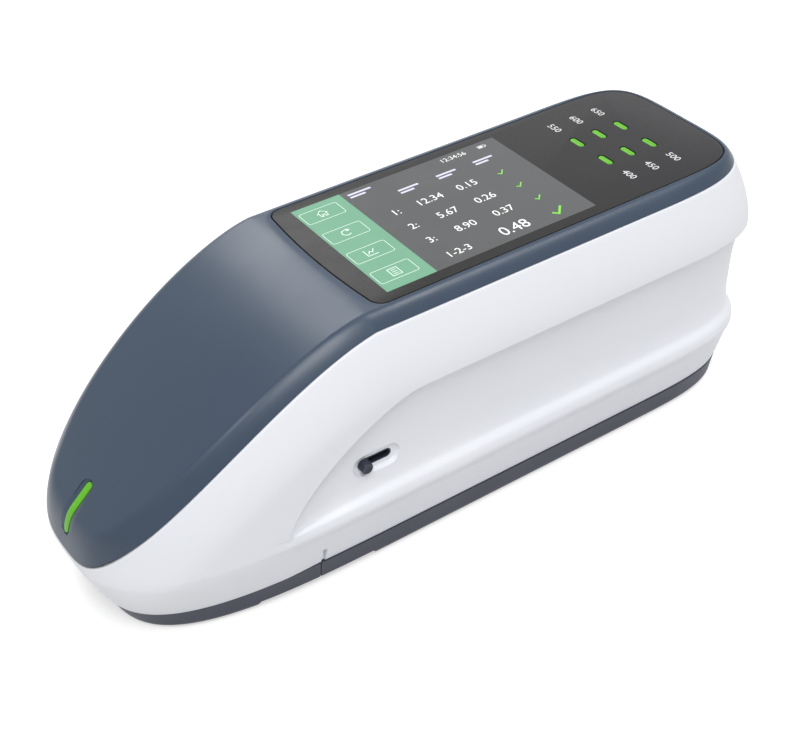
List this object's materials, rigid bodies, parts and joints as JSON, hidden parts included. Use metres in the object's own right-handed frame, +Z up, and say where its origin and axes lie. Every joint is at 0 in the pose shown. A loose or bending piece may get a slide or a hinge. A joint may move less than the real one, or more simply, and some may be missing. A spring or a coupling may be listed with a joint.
{
  "type": "portable spectrophotometer",
  "caption": "Handheld colour spectrophotometer with a downward measuring port in a sloping nose, a touch display, indicator lights and a sliding aperture selector.",
  "frame": {"origin": "centre of the footprint, on the surface that the rubber feet stand on", "axes": "-X towards the measuring nose, +X towards the rear end with the socket, -Y out of the flank with the aperture selector, +Z up through the display"},
  "size_m": [0.232, 0.077, 0.085],
  "materials": {
    "main_shell": "satin bluish white",
    "top_cover": "satin slate blue",
    "cover_glass": "glossy, printed dark grey behind",
    "display_module": "lit panel",
    "base": "matt dark blue grey",
    "green_light": "clear green light guide",
    "rubber": "matt",
    "steel": "bright",
    "aluminium": "bead blasted",
    "white_coating": "diffuse white lining",
    "board": "green circuit board",
    "optic": "clear",
    "battery": "blue wrap",
    "dark_plastic": "matt"
  },
  "bodies": {
    "housing": {"main_shell": "main_shell", "top_cover": "top_cover", "cover_glass": "cover_glass", "display_module": "display_module", "nose_base": "base", "base_plate": "base", "nose_light": "green_light", "indicator_light_1": "green_light", "indicator_light_2": "green_light", "indicator_light_3": "green_light", "indicator_light_4": "green_light", "indicator_light_5": "green_light", "indicator_light_6": "green_light", "rubber_foot_1": "rubber", "rubber_foot_2": "rubber", "rubber_foot_3": "rubber", "rubber_foot_4": "rubber", "case_screw_1": "steel", "case_screw_2": "steel", "case_screw_3": "steel", "case_screw_4": "steel", "case_screw_5": "steel", "case_screw_6": "steel", "charging_socket": "steel", "power_switch_body": "steel", "lamp_housing": "aluminium", "optics_deck": "aluminium", "fold_mirror": "aluminium", "lens_rail": "aluminium", "spectrometer_body": "aluminium", "spectrometer_lid": "aluminium", "sphere_lower": "white_coating", "sphere_upper": "white_coating", "key_board": "board", "main_board": "board", "nose_lamp_board": "board", "rear_board": "board", "sensor_board": "board", "grating_block": "optic", "battery_pack": "battery", "port_ring": "dark_plastic", "key_switch": "dark_plastic", "sounder": "dark_plastic"},
    "selector": {"selector_knob": "dark_plastic", "selector_arm": "aluminium", "lens_barrel": "dark_plastic", "focus_lens": "optic"},
    "measure_key": {"measure_key": "dark_plastic"},
    "power_slider": {"power_slider": "dark_plastic"},
    "battery_lid": {"battery_lid": "base"}
  },
  "joints": [
    {"name": "selector_slide", "type": "slide", "parent": "housing", "child": "selector", "axis": [1, 0, 0], "range_m": [0, 0.008]},
    {"name": "measure_key_push", "type": "slide", "parent": "housing", "child": "measure_key", "axis": [0, -1, 0], "range_m": [0, 0.001], "stiffness_N_per_m": 1500, "springref_m": -0.0002},
    {"name": "power_slide", "type": "slide", "parent": "housing", "child": "power_slider", "axis": [0, 1, 0], "range_m": [0, 0.003]},
    {"name": "battery_lid_slide", "type": "slide", "parent": "housing", "child": "battery_lid", "axis": [1, 0, 0], "range_m": [0, 0.082]}
  ]
}
